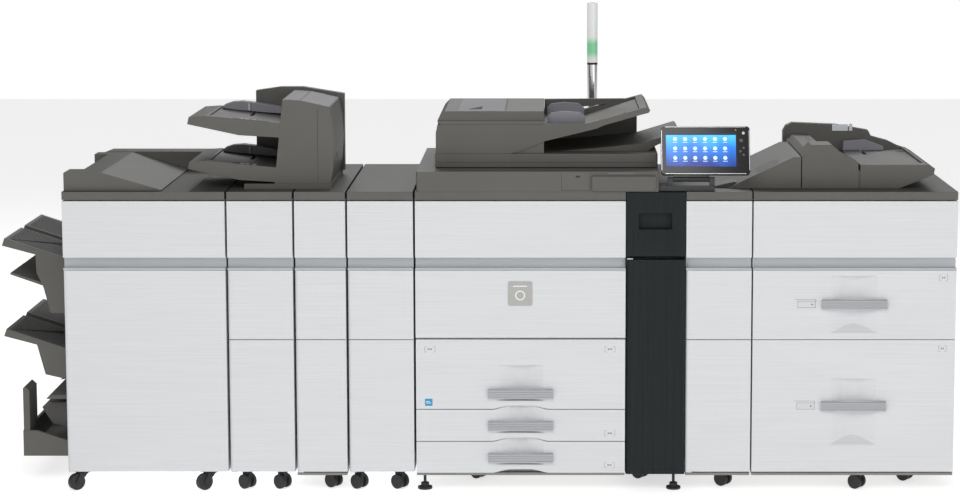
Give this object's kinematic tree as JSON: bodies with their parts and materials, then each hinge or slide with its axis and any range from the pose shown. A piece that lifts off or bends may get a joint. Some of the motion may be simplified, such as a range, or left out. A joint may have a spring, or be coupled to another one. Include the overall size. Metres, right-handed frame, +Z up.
{
  "type": "photocopier",
  "caption": "Long floor-standing production photocopier with a sheet finisher, transport modules, scanner, touch panel, paper drawers and supply unit.",
  "frame": {"origin": "centre of the bounding box at floor level", "axes": "+X along the front to the right, +Y to the back, +Z up"},
  "size_m": [3.277, 0.8335, 1.64],
  "materials": {
    "white_panel": "satin, fine horizontal grain",
    "black_panel": "satin, fine vertical grain",
    "dark_plastic": "fine texture",
    "grey_panel": "satin",
    "black_rubber": "matt",
    "metal": "bright",
    "lamp": "translucent",
    "glass": "clear"
  },
  "bodies": {
    "base": {"booklet_tray": "dark_plastic", "bypass_feeder": "dark_plastic", "door_pivots": "metal", "engine_cabinet": "white_panel", "finisher_cabinet": "white_panel", "fixed_casters": "black_rubber", "grip_channels": "grey_panel", "levelling_feet": "black_rubber", "mast_lamp": "lamp", "mast_pole": "metal", "panel_arm": "dark_plastic", "platen_glass": "glass", "plinths": "grey_panel", "proof_tray": "dark_plastic", "rear_covers": "white_panel", "scanner_base": "dark_plastic", "service_panels": "grey_panel", "sheet_inserter": "dark_plastic", "supply_cabinet": "white_panel", "transport_cabinets": "white_panel", "upper_covers": "white_panel", "worktops": "dark_plastic"},
    "finisher_door": {"finisher_door": "white_panel"},
    "folder_door": {"folder_door": "white_panel"},
    "decurler_door": {"decurler_door": "white_panel"},
    "relay_door": {"relay_door": "white_panel"},
    "side_door": {"side_door": "white_panel"},
    "tower_door": {"tower_door": "black_panel"},
    "engine_cover": {"engine_cover": "white_panel"},
    "toner_hatch": {"toner_hatch": "black_panel"},
    "drawer_1": {"drawer_1": "white_panel"},
    "drawer_2": {"drawer_2": "white_panel"},
    "drawer_3": {"drawer_3": "white_panel"},
    "supply_drawer_1": {"supply_drawer_1": "white_panel"},
    "supply_button_1": {"supply_button_1": "grey_panel"},
    "supply_drawer_2": {"supply_drawer_2": "white_panel"},
    "supply_button_2": {"supply_button_2": "grey_panel"},
    "caster_left_fork": {"caster_left_fork": "black_rubber"},
    "caster_left_wheel": {"caster_left_wheel": "black_rubber"},
    "caster_right_fork": {"caster_right_fork": "black_rubber"},
    "caster_right_wheel": {"caster_right_wheel": "black_rubber"},
    "imaging_drum": {"imaging_drum": "metal"},
    "fuser_heat_roller": {"fuser_heat_roller": "metal"},
    "fuser_pressure_roller": {"fuser_pressure_roller": "black_rubber"},
    "toner_bottle": {"toner_bottle": "dark_plastic"},
    "scan_carriage": {"scan_carriage": "dark_plastic"},
    "document_lid": {"document_lid": "dark_plastic", "feeder_body": "dark_plastic", "document_tray": "dark_plastic"},
    "feeder_cover": {"feeder_cover": "dark_plastic"},
    "feed_roller": {"feed_roller": "black_rubber"},
    "document_guide_front": {"document_guide_front": "dark_plastic"},
    "document_guide_rear": {"document_guide_rear": "dark_plastic"},
    "touch_panel": {"panel_housing": "black_panel"},
    "power_key": {"power_key": "grey_panel"},
    "upper_output_tray": {"upper_output_tray": "dark_plastic"},
    "lower_output_tray": {"lower_output_tray": "dark_plastic"},
    "inserter_upper_guide": {"inserter_upper_guide": "dark_plastic"},
    "inserter_lower_guide": {"inserter_lower_guide": "dark_plastic"},
    "bypass_guide": {"bypass_guide": "dark_plastic"}
  },
  "joints": [
    {"name": "finisher_door_hinge", "type": "hinge", "parent": "base", "child": "finisher_door", "pos_m": [-1.3895, -0.38975, 0.07], "axis": [0, 0, -1], "range_deg": [0, 90]},
    {"name": "folder_door_hinge", "type": "hinge", "parent": "base", "child": "folder_door", "pos_m": [-0.8305, -0.38975, 0.07], "axis": [0, 0, -1], "range_deg": [0, 90]},
    {"name": "decurler_door_hinge", "type": "hinge", "parent": "base", "child": "decurler_door", "pos_m": [-0.6015, -0.38975, 0.07], "axis": [0, 0, -1], "range_deg": [0, 90]},
    {"name": "relay_door_hinge", "type": "hinge", "parent": "base", "child": "relay_door", "pos_m": [-0.4215, -0.38975, 0.07], "axis": [0, 0, -1], "range_deg": [0, 90]},
    {"name": "side_door_hinge", "type": "hinge", "parent": "base", "child": "side_door", "pos_m": [0.7305, -0.38975, 0.07], "axis": [0, 0, -1], "range_deg": [0, 90]},
    {"name": "tower_door_hinge", "type": "hinge", "parent": "base", "child": "tower_door", "pos_m": [0.5265, -0.38975, 0.061], "axis": [0, 0, -1], "range_deg": [0, 90]},
    {"name": "engine_cover_hinge", "type": "hinge", "parent": "base", "child": "engine_cover", "pos_m": [0.1535, -0.38975, 0.54625], "axis": [1, 0, 0], "range_deg": [0, 90]},
    {"name": "toner_hatch_hinge", "type": "hinge", "parent": "base", "child": "toner_hatch", "pos_m": [0.6145, -0.38975, 0.827], "axis": [1, 0, 0], "range_deg": [0, 90]},
    {"name": "drawer_1_slide", "type": "slide", "parent": "base", "child": "drawer_1", "axis": [0, -1, 0], "range_m": [0, 0.45]},
    {"name": "drawer_2_slide", "type": "slide", "parent": "base", "child": "drawer_2", "axis": [0, -1, 0], "range_m": [0, 0.45]},
    {"name": "drawer_3_slide", "type": "slide", "parent": "base", "child": "drawer_3", "axis": [0, -1, 0], "range_m": [0, 0.45]},
    {"name": "supply_drawer_1_slide", "type": "slide", "parent": "base", "child": "supply_drawer_1", "axis": [0, -1, 0], "range_m": [0, 0.5]},
    {"name": "supply_button_1_slide", "type": "slide", "parent": "supply_drawer_1", "child": "supply_button_1", "axis": [0, 1, 0], "range_m": [0, 0.002], "stiffness_N_per_m": 400},
    {"name": "supply_drawer_2_slide", "type": "slide", "parent": "base", "child": "supply_drawer_2", "axis": [0, -1, 0], "range_m": [0, 0.5]},
    {"name": "supply_button_2_slide", "type": "slide", "parent": "supply_drawer_2", "child": "supply_button_2", "axis": [0, 1, 0], "range_m": [0, 0.002], "stiffness_N_per_m": 400},
    {"name": "caster_left_fork_hinge", "type": "hinge", "parent": "base", "child": "caster_left_fork", "pos_m": [-1.3605, -0.35875, 0.0617], "axis": [0, 0, 1], "continuous": true},
    {"name": "caster_left_wheel_hinge", "type": "hinge", "parent": "caster_left_fork", "child": "caster_left_wheel", "pos_m": [-1.37889, -0.37418, 0.028], "axis": [-0.6428, 0.766, 0], "continuous": true},
    {"name": "caster_right_fork_hinge", "type": "hinge", "parent": "base", "child": "caster_right_fork", "pos_m": [-0.9195, -0.35875, 0.0617], "axis": [0, 0, 1], "continuous": true},
    {"name": "caster_right_wheel_hinge", "type": "hinge", "parent": "caster_right_fork", "child": "caster_right_wheel", "pos_m": [-0.93789, -0.37418, 0.028], "axis": [-0.6428, 0.766, 0], "continuous": true},
    {"name": "imaging_drum_hinge", "type": "hinge", "parent": "base", "child": "imaging_drum", "pos_m": [0.1535, 0.23725, 0.668], "axis": [0, 1, 0], "continuous": true},
    {"name": "fuser_heat_roller_hinge", "type": "hinge", "parent": "base", "child": "fuser_heat_roller", "pos_m": [-0.0565, 0.23725, 0.706], "axis": [0, 1, 0], "continuous": true},
    {"name": "fuser_pressure_roller_hinge", "type": "hinge", "parent": "base", "child": "fuser_pressure_roller", "pos_m": [-0.0565, 0.23725, 0.655], "axis": [0, 1, 0], "continuous": true},
    {"name": "toner_bottle_hinge", "type": "hinge", "parent": "base", "child": "toner_bottle", "pos_m": [0.6145, 0.23725, 0.925], "axis": [0, 1, 0], "continuous": true},
    {"name": "scan_carriage_slide", "type": "slide", "parent": "base", "child": "scan_carriage", "axis": [1, 0, 0], "range_m": [0, 0.43]},
    {"name": "document_lid_hinge", "type": "hinge", "parent": "base", "child": "document_lid", "pos_m": [0.1535, 0.25225, 1.119], "axis": [-1, 0, 0], "range_deg": [0, 50]},
    {"name": "feeder_cover_hinge", "type": "hinge", "parent": "document_lid", "child": "feeder_cover", "pos_m": [-0.1205, -0.26775, 1.2695], "axis": [0, -1, 0], "range_deg": [0, 70]},
    {"name": "feed_roller_hinge", "type": "hinge", "parent": "document_lid", "child": "feed_roller", "pos_m": [0.0625, -0.05275, 1.235], "axis": [0, 1, 0], "continuous": true},
    {"name": "document_guide_front_slide", "type": "slide", "parent": "document_lid", "child": "document_guide_front", "axis": [0, 1, 0], "range_m": [0, 0.07]},
    {"name": "document_guide_rear_slide", "type": "slide", "parent": "document_lid", "child": "document_guide_rear", "axis": [0, 1, 0], "range_m": [-0.07, 0]},
    {"name": "touch_panel_hinge", "type": "hinge", "parent": "base", "child": "touch_panel", "pos_m": [0.7835, -0.37875, 1.08], "axis": [-1, 0, 0], "range_deg": [-8, 30]},
    {"name": "power_key_slide", "type": "slide", "parent": "touch_panel", "child": "power_key", "axis": [0, 0.9397, -0.342], "range_m": [0, 0.0015], "stiffness_N_per_m": 300},
    {"name": "upper_output_tray_slide", "type": "slide", "parent": "base", "child": "upper_output_tray", "axis": [0, 0, 1], "range_m": [0, 0.06]},
    {"name": "lower_output_tray_slide", "type": "slide", "parent": "base", "child": "lower_output_tray", "axis": [0, 0, 1], "range_m": [0, 0.07]},
    {"name": "inserter_upper_guide_slide", "type": "slide", "parent": "base", "child": "inserter_upper_guide", "axis": [0, -1, 0], "range_m": [0, 0.12]},
    {"name": "inserter_lower_guide_slide", "type": "slide", "parent": "base", "child": "inserter_lower_guide", "axis": [0, -1, 0], "range_m": [0, 0.12]},
    {"name": "bypass_guide_slide", "type": "slide", "parent": "base", "child": "bypass_guide", "axis": [0, -1, 0], "range_m": [0, 0.11]}
  ],
  "couplings": [
    {"joint": "fuser_pressure_roller_hinge", "follows": "fuser_heat_roller_hinge", "ratio": -1},
    {"joint": "document_guide_rear_slide", "follows": "document_guide_front_slide", "ratio": -1}
  ]
}
